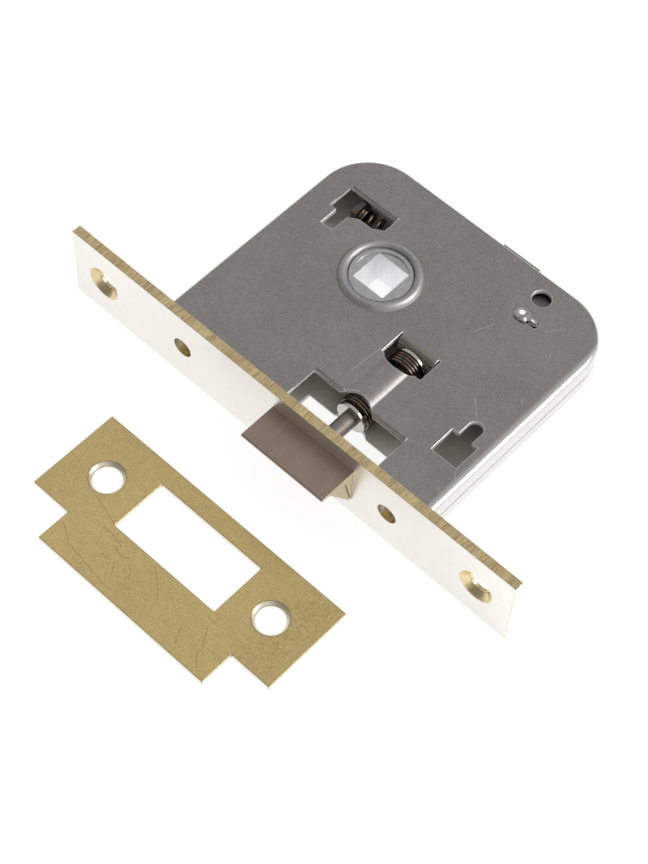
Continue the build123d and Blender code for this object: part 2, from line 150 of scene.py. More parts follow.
# Rim of the bolt's slot: its gap to the bolt, how far it reaches into the plate, and how far its
# ends lie below the plate's front and back
BURR_CLEARANCE = 0.03
BURR_REACH = 0.6
BURR_FRONT = 0.01
BURR_BACK = 0.05

# Corners of a square, in the order of its outline
SQUARE = ((-1, -1), (1, -1), (1, 1), (-1, 1))

# Studio: floor and lamp in metres and watts, and the levels of the room's light, which is a little
# lighter on one side and darker on another
FLOOR_REACH = 1.5
FLOOR_GLOW = 0.86
LAMP_WAY = (0.72, 0.41, 0.56)
LAMP_AIM = (0, 0.02, 0)
LAMP_DISTANCE = 0.6
LAMP_SIZE = 0.28
LAMP_POWER = 1.6
ROOM_LEVEL = 0.6
LIGHT_SIDE = (0.9, -0.4, -0.15)
LIGHT_SIDE_LEVEL = 0.7
DARK_SIDE = (-0.25, -0.88, 0.4)
DARK_SIDE_SHARE = 0.4

# Handling scratches, each a path over the plate, and the length of their wander, in millimetres
SCRATCH_WANDER = 1.6
COVER_SCRATCHES = (
    ((24.6, 28.0), (28.0, 24.6)),
    ((13.9, 40.2), (14.2, 41.6), (15.6, 44.5)),
    ((24.5, 50.5), (26.7, 54.0)),
    ((29.0, 46.1), (28.6, 47.1)),
    ((33.0, 12.4), (34.2, 10.8)),
    ((33.0, 7.1), (34.0, 6.8)),
    ((31.5, 34.4), (32.3, 33.5)),
    ((-7.5, 52.2), (-5.1, 51.6)),
    ((31.4, 38.6), (31.9, 38.9)),
    ((13.4, 47.6), (13.7, 47.7)),
    ((11.2, 40.9), (11.4, 41.3)),
    ((7.8, 60.4), (8.4, 59.9)),
    ((2.2, 15.5), (2.8, 24.1)),
)
STRIKE_SCRATCHES = (
    ((-19.9, -35.4), (-15.9, -36.5), (-12.0, -37.6)),
    ((-13.2, -39.5), (-10.8, -39.4), (-7.4, -40.1)),
    ((-8.7, -41.1), (-5.8, -41.7), (-4.2, -40.8)),
    ((-15.4, -46.9), (-7.3, -47.9), (-3.8, -48.5)),
    ((0.4, -38.4), (6.0, -43.3)),
    ((17.2, -41.0), (19.6, -44.7)),
    ((19.4, -46.1), (22.1, -49.0)),
    ((15.6, -39.3), (18.1, -39.5)),
    ((-19.8, -44.3), (-16.3, -46.3)),
    ((-6.1, -43.4), (-4.4, -45.9)),
    ((-3.3, -42.2), (-1.9, -43.0), (-1.6, -44.9)),
    ((-9.2, -44.0), (-6.9, -43.6)),
    ((-2.6, -46.4), (0.7, -45.5)),
    ((13.4, -44.6), (15.1, -47.8)),
)
STRIKE_TARNISH = ((30.5, -22.1), (29.0, -39.4))


def linear(code):
    """Linear colour of an sRGB hex code."""
    values = [int(code[i : i + 2], 16) / 255 for i in (0, 2, 4)]
    return tuple(v / 12.92 if v <= 0.04045 else ((v + 0.055) / 1.055) ** 2.4 for v in values)


class LatchSizes(bpy.types.PropertyGroup):
    """Sizes of the rounded edges and of the coiled wire."""

    sheet_round: FloatProperty(
        name="Sheet edge",
        description="Rounding of the cut edges of the pressed case",
        default=0.18 * MM,
        unit="LENGTH",
        precision=5,
    )
    plate_round: FloatProperty(
        name="Plate edge",
        description="Rounding of the edges of the faceplate and the strike plate",
        default=0.16 * MM,
        unit="LENGTH",
        precision=5,
    )
    bolt_round: FloatProperty(
        name="Bolt edge",
        description="Rounding of the edges of the bolt",
        default=0.22 * MM,
        unit="LENGTH",
        precision=5,
    )
    small_round: FloatProperty(
        name="Small edge",
        description="Rounding of the stem, the washers and the plunger",
        default=0.12 * MM,
        unit="LENGTH",
        precision=5,
    )
    fine_round: FloatProperty(
        name="Fine edge",
        description="Rounding of the follower's broached square",
        default=0.03 * MM,
        unit="LENGTH",
        precision=5,
    )
    wire: FloatProperty(
        name="Wire",
        description="Diameter of the spring wire",
        default=0.7 * MM,
        unit="LENGTH",
        precision=5,
    )
    bolt_turns: IntProperty(
        name="Bolt spring turns",
        description="Turns of the bolt spring",
        default=11,
        min=4,
    )
    return_turns: IntProperty(
        name="Return spring turns",
        description="Turns of the return spring",
        default=8,
        min=4,
    )


class LatchColours(bpy.types.PropertyGroup):
    """Colours of the metals."""

    case_steel: FloatVectorProperty(
        name="Case steel",
        description="Zinc plated sheet of the case",
        subtype="COLOR",
        default=linear("9E9996"),
    )
    # Painted sheen on the side walls and the right bend; bare bright steel on the scratches and cut edges
    bare_steel_and_sheen: FloatVectorProperty(
        name="Ironed steel",
        description="Side walls of the case, which the die has rubbed bright, and its cut edges",
        subtype="COLOR",
        default=linear("DEDCDB"),
    )
    # Painted light: the matt inside is given this pale colour to lift the shade inside the case
    lifted_dull_steel: FloatVectorProperty(
        name="Dull steel",
        description="Unpolished inside of the case",
        subtype="COLOR",
        default=linear("DEDBD2"),
    )
    drawn_steel: FloatVectorProperty(
        name="Drawn steel",
        description="Collars drawn up round the follower",
        subtype="COLOR",
        default=linear("B4B2B3"),
    )
    beaten_steel: FloatVectorProperty(
        name="Beaten steel",
        description="Tip of the tongue that is beaten over the cover",
        subtype="COLOR",
        default=linear("B8B2AF"),
    )
    # Painted shade: this olive grey stands for the shading of the fold
    fold_shade_steel: FloatVectorProperty(
        name="Folded seat",
        description="Fold of the cover that holds the bolt spring",
        subtype="COLOR",
        default=linear("98948A"),
    )
    # Painted reflection: the brass front is painted pale for the washed-out glare of the bright table it
    # mirrors
    glare_pale_front_brass: FloatVectorProperty(
        name="Faceplate front",
        description="Pale brassed and lacquered front of the faceplate",
        subtype="COLOR",
        default=linear("F8F5EF"),
    )
    edge_brass: FloatVectorProperty(
        name="Faceplate edge",
        description="Sheared long edges of the faceplate",
        subtype="COLOR",
        default=linear("D8C294"),
    )
    sink_brass: FloatVectorProperty(
        name="Faceplate countersinks",
        description="Turned countersinks of the faceplate",
        subtype="COLOR",
        default=linear("E8D6A8"),
    )
    strike_brass: FloatVectorProperty(
        name="Strike brass",
        description="Rolled satin brass of the strike plate",
        subtype="COLOR",
        default=linear("E0C78B"),
    )
    pale_brass: FloatVectorProperty(
        name="Cut brass",
        description="Pale cut sides and countersinks of the strike plate",
        subtype="COLOR",
        default=linear("F2E9D8"),
    )
    worn_front: FloatVectorProperty(
        name="Worn faceplate",
        description="Worn corners of the faceplate",
        subtype="COLOR",
        default=linear("CFC5B2"),
    )
    worn_strike: FloatVectorProperty(
        name="Worn strike",
        description="Worn corners of the strike plate",
        subtype="COLOR",
        default=linear("C2AF86"),
    )
    bolt_steel: FloatVectorProperty(
        name="Bolt steel",
        description="Bronzed steel of the bolt",
        subtype="COLOR",
        default=linear("A69385"),
    )
    # Painted light: the bolt's ends get this lighter colour for the light that falls on them
    lit_bolt_end: FloatVectorProperty(
        name="Bolt end",
        description="Ground ends of the bolt, bright under their lacquer",
        subtype="COLOR",
        default=linear("C4B593"),
    )
    stem_steel: FloatVectorProperty(
        name="Stem steel",
        description="Bronzed steel of the stem",
        subtype="COLOR",
        default=linear("989089"),
    )
    washer_steel: FloatVectorProperty(
        name="Washer steel",
        description="Polished steel of the washers",
        subtype="COLOR",
        default=linear("C6C1BC"),
    )
    follower_alloy: FloatVectorProperty(
        name="Follower",
        description="Cast zinc alloy of the follower",
        subtype="COLOR",
        default=linear("C2C1C1"),
    )
    # Bright broached metal, also painted near white as painted light that lifts the shade in the square hole
    broached_lit_alloy: FloatVectorProperty(
        name="Broached square",
        description="Bright broached walls of the square hole",
        subtype="COLOR",
        default=linear("F4F4F7"),
    )
    plunger_steel: FloatVectorProperty(
        name="Plunger",
        description="Oiled dark steel of the plunger",
        subtype="COLOR",
        default=linear("857A70"),
    )
    spring_wire: FloatVectorProperty(
        name="Spring wire",
        description="Oil tempered wire of the springs",
        subtype="COLOR",
        default=linear("75655A"),
    )
    floor: FloatVectorProperty(
        name="Floor",
        description="Pale table under the latch",
        subtype="COLOR",
        default=linear("A2A2A2"),
    )


def add_node(tree, kind, settings=None, inputs=None):
    """Adds one node, sets its properties and fills its inputs with values or links."""
    node = tree.nodes.new(kind)
    for key, value in (settings or {}).items():
        setattr(node, key, value)
    for key, value in (inputs or {}).items():
        if isinstance(value, bpy.types.NodeSocket):
            tree.links.new(value, node.inputs[key])
        else:
            node.inputs[key].default_value = value
    return node


def new_metal(name, colour, roughness):
    """A material with one metal shader; returns it with its tree, its shader and its place in millimetres."""
    material = bpy.data.materials.new(name)
    material.use_nodes = True
    tree = material.node_tree
    shader = tree.nodes["Principled BSDF"]
    shader.inputs["Base Color"].default_value = (*colour, 1)
    shader.inputs["Metallic"].default_value = 1
    shader.inputs["Roughness"].default_value = roughness
    place = add_node(tree, "ShaderNodeTexCoord")
    millimetres = add_node(
        tree,
        "ShaderNodeVectorMath",
        {"operation": "SCALE"},
        {0: place.outputs["Object"], "Scale": 1 / MM},
    )
    return material, tree, shader, millimetres.outputs[0]


def scratched(tree, place, paths, width):
    """Mask that is 1 along each path over a flat plate and fades at its sides; all in millimetres."""
    flat = add_node(
        tree, "ShaderNodeVectorMath", {"operation": "MULTIPLY"}, {0: place, 1: (1, 1, 0)}
    ).outputs[0]
    nearest = None
    for path in paths:
        for start, end in zip(path, path[1:]):
            start, end = Vector((*start, 0)), Vector((*end, 0))
            run = end - start
            from_start = add_node(
                tree, "ShaderNodeVectorMath", {"operation": "SUBTRACT"}, {0: flat, 1: start}
            ).outputs[0]
            along = add_node(
                tree,
                "ShaderNodeVectorMath",
                {"operation": "DOT_PRODUCT"},
                {0: from_start, 1: run / run.length_squared},
            )
            share = add_node(
                tree,
                "ShaderNodeMath",
                {"operation": "MULTIPLY", "use_clamp": True},
                {0: along.outputs["Value"], 1: 1},
            )
            foot = add_node(
                tree, "ShaderNodeVectorMath", {"operation": "SCALE"}, {0: run, "Scale": share.outputs[0]}
            )
            away = add_node(
                tree,
                "ShaderNodeVectorMath",
                {"operation": "DISTANCE"},
                {0: from_start, 1: foot.outputs[0]},
            ).outputs["Value"]
            if nearest is not None:
                away = add_node(
                    tree, "ShaderNodeMath", {"operation": "MINIMUM"}, {0: nearest, 1: away}
                ).outputs[0]
            nearest = away
    mask = add_node(
        tree,
        "ShaderNodeMapRange",
        {"interpolation_type": "SMOOTHSTEP"},
        {"Value": nearest, "From Min": 0.3 * width, "From Max": width, "To Min": 1, "To Max": 0},
    )
    return mask.outputs[0]


def wavy(tree, place, reach):
    """Place that wanders by up to a reach in millimetres, so that a line drawn with it isn't ruled."""
    noise = add_node(
        tree, "ShaderNodeTexNoise", None, {"Vector": place, "Scale": 1 / SCRATCH_WANDER, "Detail": 2}
    )
    middle = add_node(
        tree,
        "ShaderNodeVectorMath",
        {"operation": "SUBTRACT"},
        {0: noise.outputs["Color"], 1: (0.5, 0.5, 0.5)},
    )
    drift = add_node(
        tree, "ShaderNodeVectorMath", {"operation": "SCALE"}, {0: middle.outputs[0], "Scale": 4 * reach}
    )
    moved = add_node(tree, "ShaderNodeVectorMath", None, {0: place, 1: drift.outputs[0]})
    return moved.outputs[0]


def round_hole(tree, place, x, radius):
    """Mask of what lies within a radius of a hole's axis, which runs along Y at x; all in millimetres."""
    moved = add_node(tree, "ShaderNodeVectorMath", {"operation": "SUBTRACT"}, {0: place, 1: (x, 0, 0)})
    across = add_node(
        tree, "ShaderNodeVectorMath", {"operation": "MULTIPLY"}, {0: moved.outputs[0], 1: (1, 0, 1)}
    )
    away = add_node(tree, "ShaderNodeVectorMath", {"operation": "LENGTH"}, {0: across.outputs[0]})
    inside = add_node(
        tree, "ShaderNodeMath", {"operation": "LESS_THAN"}, {0: away.outputs["Value"], 1: radius}
    )
    return inside.outputs[0]


def inside_box(tree, place, middle, half):
    """Mask of what lies inside a box given by its middle and half sizes in millimetres."""
    moved = add_node(tree, "ShaderNodeVectorMath", {"operation": "SUBTRACT"}, {0: place, 1: middle})
    size = add_node(tree, "ShaderNodeVectorMath", {"operation": "ABSOLUTE"}, {0: moved.outputs[0]})
    left = add_node(tree, "ShaderNodeVectorMath", {"operation": "SUBTRACT"}, {0: size.outputs[0], 1: half})
    parts = add_node(tree, "ShaderNodeSeparateXYZ", None, {0: left.outputs[0]})
    most = highest(tree, [parts.outputs["X"], parts.outputs["Y"], parts.outputs["Z"]])
    inside = add_node(tree, "ShaderNodeMath", {"operation": "LESS_THAN"}, {0: most, 1: 0})
    return inside.outputs[0]


def facing(tree, axis, low, high):
    """Mask that rises from 0 to 1 as the surface turns to or from one axis of the piece."""
    turned = add_node(tree, "ShaderNodeTexCoord")
    parts = add_node(tree, "ShaderNodeSeparateXYZ", None, {0: turned.outputs["Normal"]})
    size = add_node(tree, "ShaderNodeMath", {"operation": "ABSOLUTE"}, {0: parts.outputs[axis]})
    mask = add_node(
        tree,
        "ShaderNodeMapRange",
        {"interpolation_type": "SMOOTHSTEP"},
        {"Value": size.outputs[0], "From Min": low, "From Max": high},
    )
    return mask.outputs[0]


def highest(tree, masks):
    """The highest of several masks."""
    joined = masks[0]
    for mask in masks[1:]:
        joined = add_node(tree, "ShaderNodeMath", {"operation": "MAXIMUM"}, {0: joined, 1: mask}).outputs[0]
    return joined


def opaque(colour):
    """A colour with full alpha; a linked one stays as it is."""
    return colour if isinstance(colour, bpy.types.NodeSocket) else (*colour, 1)


def layered(tree, colour, layers):
    """Colour laid over by other colours, each through its own mask."""
    for mask, over in layers:
        mix = add_node(
            tree,
            "ShaderNodeMix",
            {"data_type": "RGBA"},
            {"Factor": mask, "A": opaque(colour), "B": opaque(over)},
        )
        colour = mix.outputs["Result"]
    return colour


def scaled(colour, factor):
    """A colour made darker or lighter by one factor."""
    return tuple(min(1, value * factor) for value in colour)


def mottled(tree, place, colour, patches):
    """Colour that varies in patches, each kind given by its size in millimetres, its detail and its depth."""
    for size, detail, depth in patches:
        noise = add_node(
            tree, "ShaderNodeTexNoise", None, {"Vector": place, "Scale": 1 / size, "Detail": detail}
        )
        # The noise lies mostly between 0.3 and 0.7
        spread = add_node(
            tree,
            "ShaderNodeMapRange",
            None,
            {
                "Value": noise.outputs[0],
                "From Min": 0.3,
                "From Max": 0.7,
                "To Min": 1 - depth,
                "To Max": 1 + depth,
            },
        )
        tint = add_node(
            tree, "ShaderNodeVectorMath", {"operation": "SCALE"}, {0: colour, "Scale": spread.outputs[0]}
        )
        colour = tint.outputs[0]
    return colour


def mottled_metal(name, colour, roughness, patches):
    """A metal whose colour varies in patches, as mottled gives them."""
    material, tree, shader, place = new_metal(name, colour, roughness)
    base = mottled(tree, place, colour, patches)
    tree.links.new(base, shader.inputs["Base Color"])
    return material


def grained(tree, shader, place, size, strength):
    """Gives a shader the fine relief of a grain, by its size in millimetres."""
    grain = add_node(tree, "ShaderNodeTexNoise", None, {"Vector": place, "Scale": 1 / size, "Detail": 2})
    bump = add_node(
        tree,
        "ShaderNodeBump",
        None,
        {"Strength": strength, "Distance": 0.02 * MM, "Height": grain.outputs[0]},
    )
    tree.links.new(bump.outputs[0], shader.inputs["Normal"])


def case_walls(tree, place):
    """Mask of the case's side walls and of a strip along the right bend, where a lighter colour is painted as
    their sheen.
    """
    steep = add_node(
        tree, "ShaderNodeMath", {"operation": "SUBTRACT"}, {0: 1, 1: facing(tree, "Z", 0.45, 0.85)}
    )
    parts = add_node(tree, "ShaderNodeSeparateXYZ", None, {0: place})
    bend = add_node(
        tree,
        "ShaderNodeMapRange",
        {"interpolation_type": "SMOOTHSTEP"},
        {"Value": parts.outputs["X"], "From Min": BEND_FROM, "From Max": BEND_TO},
    )
    return highest(tree, [steep.outputs[0], bend.outputs[0]])


def case_inside(tree, place, fold):
    """Mask of the inside of the case and of its spring channel, without the folded seat."""
    spread = add_node(tree, "ShaderNodeVectorMath", {"operation": "ABSOLUTE"}, {0: place})
    past = add_node(
        tree, "ShaderNodeVectorMath", {"operation": "SUBTRACT"}, {0: spread.outputs[0], 1: CORNER}
    )
    corner = add_node(
        tree, "ShaderNodeVectorMath", {"operation": "MAXIMUM"}, {0: past.outputs[0], 1: (0, 0, 0)}
    )
    reach = add_node(tree, "ShaderNodeVectorMath", {"operation": "LENGTH"}, {0: corner.outputs[0]})
    rounded = add_node(
        tree, "ShaderNodeMath", {"operation": "LESS_THAN"}, {0: reach.outputs["Value"], 1: CORNER_INSIDE}
    )
    hollow = add_node(
        tree,
        "ShaderNodeMath",
        {"operation": "MULTIPLY"},
        {0: rounded.outputs[0], 1: inside_box(tree, place, (0, 0, 0), CASE_INSIDE)},
    )
    channel = add_node(
        tree,
        "ShaderNodeMath",
        {"operation": "MULTIPLY"},
        {0: round_hole(tree, place, BOLT_X, CHANNEL_INSIDE), 1: inside_box(tree, place, *CHANNEL_BOX)},
    )
    inner = highest(tree, [hollow.outputs[0], channel.outputs[0]])
    inside = add_node(
        tree, "ShaderNodeMath", {"operation": "SUBTRACT", "use_clamp": True}, {0: inner, 1: fold}
    )
    return inside.outputs[0]


def window_cuts(tree, place, share):
    """Mask of the cut sides of the windows and of the rear hole, as high as its share."""
    upright = add_node(
        tree, "ShaderNodeMath", {"operation": "SUBTRACT"}, {0: 1, 1: facing(tree, "Z", 0.15, 0.4)}
    )
    windows = highest(tree, [inside_box(tree, place, *box) for box in (WINDOW_BOX, REAR_HOLE_BOX)])
    cut = add_node(
        tree, "ShaderNodeMath", {"operation": "MULTIPLY"}, {0: upright.outputs[0], 1: windows}
    )
    part = add_node(tree, "ShaderNodeMath", {"operation": "MULTIPLY"}, {0: cut.outputs[0], 1: share})
    return part.outputs[0]


def case_steel(colours, name, scratches, dull_cuts):
    """Zinc plated steel sheet, pressed: satin grey with a speckled grain and a few bright scratches.

    The side walls and the right bend are painted brighter, a painted sheen. The inside is dull and painted
    pale, painted light that lifts its shade; the seat's fold has a painted olive shade and the spring lug a
    painted dark shade.
    """
    colour, bare_and_sheen = tuple(colours.case_steel), tuple(colours.bare_steel_and_sheen)
    material, tree, shader, place = new_metal(name, colour, 0.38)
    # The plating's grain is about 0.1 mm, drawn at 0.45 mm so that it shows
    outside = mottled(tree, place, colour, ((0.45, 2, 0.13), (1.6, 3, 0.05), (16, 2, 0.05)))
    # The inside is painted pale, painted light that lifts its shade
    dull = mottled(tree, place, tuple(colours.lifted_dull_steel), ((0.6, 2, 0.06), (5, 3, 0.08)))
    # Painted shade: the spring lug is painted near black so that it stays dark where the lamp lights it
    # through the window
    painted_lug_shade = scaled(tuple(colours.plunger_steel), 0.3)
    # Painted sheen: the side walls and the strip along the right bend take the brighter colour
    walls = case_walls(tree, place)
    # The seat's fold gets a painted olive shade
    fold = inside_box(tree, place, *SEAT_FOLD)
    inside = case_inside(tree, place, fold)
    layers = [
        (walls, bare_and_sheen),
        (inside, dull),
        (fold, tuple(colours.fold_shade_steel)),
        (inside_box(tree, place, *SPRING_LUG), painted_lug_shade),
    ]
    if scratches:
        marks = scratched(tree, wavy(tree, place, 0.1), scratches, 0.11)
        faint = add_node(tree, "ShaderNodeMath", {"operation": "MULTIPLY"}, {0: marks, 1: 0.5})
        layers.insert(0, (faint.outputs[0], bare_and_sheen))
    base = layered(tree, outside, layers)
    tree.links.new(base, shader.inputs["Base Color"])
    matt = highest(tree, [inside, window_cuts(tree, place, dull_cuts)])
    metal = add_node(tree, "ShaderNodeMath", {"operation": "SUBTRACT"}, {0: 1, 1: matt})
    tree.links.new(metal.outputs[0], shader.inputs["Metallic"])
    rough = add_node(tree, "ShaderNodeMapRange", None, {"Value": walls, "To Min": 0.38, "To Max": 0.26})
    tree.links.new(rough.outputs[0], shader.inputs["Roughness"])
    grained(tree, shader, place, 0.45, 0.12)
    return material


def cut_steel(colours):
    """Sheared edge of the plated sheet: a line of bright bare steel along each cut, a little uneven."""
    return mottled_metal("sheared_steel_edge", tuple(colours.bare_steel_and_sheen), 0.4, ((1.4, 2, 0.2),))


def worked_steel(name, colour, roughness):
    """Case sheet drawn up or beaten over: stretched and rubbed smooth, so its highlight is clear."""
    return mottled_metal(name, colour, roughness, ((0.6, 2, 0.06), (3, 2, 0.05)))


def brassed_plate(colours):
    """Brassed steel plate, lacquered: gold on the sheared edges and in the holes, and a satin front painted
    pale, a painted reflection of the bright table washed out.

    The shear leaves upright lines on the edges, about 0.3 mm apart.
    """
    front, edge = tuple(colours.glare_pale_front_brass), tuple(colours.edge_brass)
    material, tree, shader, place = new_metal("brassed_lacquered_steel", front, 0.38)
    sheared = facing(tree, "Z", 0.6, 0.9)
    sunk = add_node(
        tree, "ShaderNodeMath", {"operation": "SUBTRACT"}, {0: 1, 1: facing(tree, "Y", 0.8, 0.95)}
    )
    around = highest(tree, [round_hole(tree, place, side * SCREW_X, SCREW_SINK) for side in (-1, 1)])
    holes = add_node(
        tree, "ShaderNodeMath", {"operation": "MULTIPLY"}, {0: around, 1: sunk.outputs[0]}
    ).outputs[0]
    upright = add_node(tree, "ShaderNodeMapping", None, {"Vector": place, "Scale": (1, 0.08, 0.08)})
    lines = mottled(
        tree, upright.outputs[0], edge, ((0.22, 1, 0.2), (0.55, 1, 0.1), (2.5, 2, 0.1), (9, 2, 0.1))
    )
    lines = mottled(tree, place, lines, ((0.35, 2, 0.14),))
    gold = mottled(tree, place, tuple(colours.sink_brass), ((1.5, 2, 0.1),))
    # The front's pale colour is a painted reflection of the bright table
    pale = mottled(tree, place, front, ((2.5, 3, 0.015), (18, 2, 0.02)))
    base = layered(tree, pale, ((holes, gold), (sheared, lines)))
    tree.links.new(base, shader.inputs["Base Color"])
    raw = highest(tree, [sheared, holes])
    rough = add_node(tree, "ShaderNodeMapRange", None, {"Value": raw, "To Min": 0.38, "To Max": 0.3})
    tree.links.new(rough.outputs[0], shader.inputs["Roughness"])
    ridges = add_node(
        tree, "ShaderNodeTexNoise", None, {"Vector": upright.outputs[0], "Scale": 1 / 0.3, "Detail": 2}
    )
    depth = add_node(tree, "ShaderNodeMath", {"operation": "MULTIPLY"}, {0: ridges.outputs[0], 1: sheared})
    bump = add_node(
        tree, "ShaderNodeBump", None, {"Strength": 0.1, "Distance": 0.02 * MM, "Height": depth.outputs[0]}
    )
    tree.links.new(bump.outputs[0], shader.inputs["Normal"])
    return material


def brassed_rivet(colours):
    """Brassed steel rivet, set by a punch: pale gold, lighter than the plate's gold as painted light that
    lifts the shade of its recess, and darker in the marks of the punch.
    """
    # Painted light: the pale colour lifts the shade of the rivet's recess
    colour = scaled(tuple(colours.pale_brass), 0.95)
    return mottled_metal("brassed_rivet_steel", colour, 0.5, ((0.8, 3, 0.25),))


def satin_brass(colours):
    """Brass sheet, rolled satin: soft gold with a fine grain, thin dark scratches and a tarnished end.

    Its cut sides and countersinks are pale.
    """
    colour = tuple(colours.strike_brass)
    material, tree, shader, place = new_metal("rolled_satin_brass", colour, 0.34)
    # The rolling grain is about 0.1 mm, drawn at 0.4 mm so that it shows
    rolled = mottled(tree, place, colour, ((0.4, 2, 0.14), (1.5, 3, 0.05), (14, 2, 0.04)))
    marks = scratched(tree, wavy(tree, place, 0.12), STRIKE_SCRATCHES, 0.12)
    dim = add_node(tree, "ShaderNodeMath", {"operation": "MULTIPLY"}, {0: marks, 1: 0.5})
    near = scratched(tree, place, (STRIKE_TARNISH,), 8)
    spots = add_node(tree, "ShaderNodeTexNoise", None, {"Vector": place, "Scale": 1 / 0.45, "Detail": 4})
    broken = add_node(
        tree, "ShaderNodeMapRange", None, {"Value": spots.outputs[0], "From Min": 0.4, "From Max": 0.65}
    )
    stain = add_node(tree, "ShaderNodeMath", {"operation": "MULTIPLY"}, {0: near, 1: broken.outputs[0]})
    part = add_node(tree, "ShaderNodeMath", {"operation": "MULTIPLY"}, {0: stain.outputs[0], 1: 0.5})
    cut = add_node(
        tree, "ShaderNodeMath", {"operation": "SUBTRACT"}, {0: 1, 1: facing(tree, "Z", 0.75, 0.92)}
    )
    base = layered(
        tree,
        rolled,
        (
            (part.outputs[0], scaled(colour, 0.62)),
            (dim.outputs[0], scaled(colour, 0.35)),
            (cut.outputs[0], tuple(colours.pale_brass)),
        ),
    )
    tree.links.new(base, shader.inputs["Base Color"])
    grained(tree, shader, place, 0.4, 0.15)
    return material


def worn_corner(name, colour):
    """Worn corner of a brass or brassed plate: duller and greyer than its face."""
    return mottled_metal(name, colour, 0.36, ((0.9, 2, 0.12),))


def bronzed_steel(colours):
    """Ground steel with a bronzed finish: brown-grey and satin, faintly lined, with ends painted lighter as a
    painted highlight of the light that falls on them.
    """
    colour = tuple(colours.bolt_steel)
    material, tree, shader, place = new_metal("bronzed_ground_steel", colour, 0.36)
    ground = add_node(tree, "ShaderNodeMapping", None, {"Vector": place, "Scale": (1, 0.12, 1)})
    lined = mottled(tree, ground.outputs[0], colour, ((0.5, 2, 0.05), (3, 3, 0.05)))
    # Painted highlight: the faces along X take the lighter colour
    ends = facing(tree, "X", 0.6, 0.9)
    bright = mottled(tree, place, tuple(colours.lit_bolt_end), ((1.2, 3, 0.08),))
    base = layered(tree, lined, ((ends, bright),))
    tree.links.new(base, shader.inputs["Base Color"])
    rough = add_node(tree, "ShaderNodeMapRange", None, {"Value": ends, "To Min": 0.36, "To Max": 0.2})
    tree.links.new(rough.outputs[0], shader.inputs["Roughness"])
    return material


def turned_steel(colours):
    """Turned steel with a bronzed finish: brown-grey and low in gloss, with fine rings from the tool."""
    colour = tuple(colours.stem_steel)
    material, tree, shader, place = new_metal("bronzed_turned_steel", colour, 0.58)
    # The rings are about 0.2 mm apart, drawn at 0.5 mm so that they show
    rings = add_node(tree, "ShaderNodeMapping", None, {"Vector": place, "Scale": (0.05, 1, 0.05)})
    base = mottled(tree, rings.outputs[0], colour, ((0.5, 2, 0.08),))
    tree.links.new(base, shader.inputs["Base Color"])
    return material


def polished_washer(colours):
    """Barrel polished steel: close to a mirror, with a faint cloud."""
    return mottled_metal("barrel_polished_steel", tuple(colours.washer_steel), 0.2, ((1.2, 3, 0.06),))


def cast_alloy(colours):
    """Pressure cast zinc alloy: grey with a cloudy cast skin, and near white in the broached square hole,
    bright cut metal that is also painted light lifting the shade in the hole.
    """
    colour = tuple(colours.follower_alloy)
    material, tree, shader, place = new_metal("cast_zinc_alloy", colour, 0.36)
    skin = mottled(tree, place, colour, ((0.5, 2, 0.07), (2, 3, 0.1)))
    drawn = add_node(tree, "ShaderNodeMapping", None, {"Vector": place, "Scale": (1, 1, 0.1)})
    # The square's walls are bright cut metal, lightened further as painted light against the shade in the
    # hole
    broached = mottled(tree, drawn.outputs[0], tuple(colours.broached_lit_alloy), ((1.1, 2, 0.06),))
    square = inside_box(tree, place, (*FOLLOWER_AXIS, 0), (SQUARE_HALF, SQUARE_HALF, 20))
    base = layered(tree, skin, ((square, broached),))
    tree.links.new(base, shader.inputs["Base Color"])
    rough = add_node(tree, "ShaderNodeMapRange", None, {"Value": square, "To Min": 0.36, "To Max": 0.42})
    tree.links.new(rough.outputs[0], shader.inputs["Roughness"])
    return material


def oiled_steel(colours):
    """Oiled dark steel: brown-grey with a low gloss."""
    return mottled_metal("oiled_dark_steel", tuple(colours.plunger_steel), 0.5, ((1.2, 3, 0.12),))


def tempered_wire(colours):
    """Oil tempered spring wire: dark brown with a thin gloss."""
    return mottled_metal("oil_tempered_spring_wire", tuple(colours.spring_wire), 0.26, ((1.2, 4, 0.3),))


def dress(node, material, width, edge=None, clamped=True):
    """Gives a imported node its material, merges its flat facets and rounds its sharp edges."""
    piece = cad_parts[node]
    piece.data.materials.clear()
    piece.data.materials.append(material)
    if edge is not None:
        piece.data.materials.append(edge)
    weld = piece.modifiers.new("weld", "WELD")
    weld.merge_threshold = 0.001 * MM
    flat = piece.modifiers.new("flat_faces", "DECIMATE")
    flat.decimate_type = "DISSOLVE"
    flat.angle_limit = math.radians(0.5)
    bevel = piece.modifiers.new("rounded_edges", "BEVEL")
    bevel.width = width
    bevel.segments = 2
    bevel.limit_method = "ANGLE"
    bevel.angle_limit = math.radians(35)
    bevel.use_clamp_overlap = clamped
    bevel.material = 1 if edge is not None else -1
    even = piece.modifiers.new("even_shading", "WEIGHTED_NORMAL")
    even.keep_sharp = False
    return piece


def new_piece(name, verts, faces, material):
    """Smooth mesh piece of the latch, from points in metres, with its material."""
    mesh = bpy.data.meshes.new(name)
    mesh.from_pydata(verts, [], faces)
    mesh.shade_smooth()
    mesh.materials.append(material)
    piece = bpy.data.objects.new(name, mesh)
    bpy.context.scene.collection.objects.link(piece)
    return piece


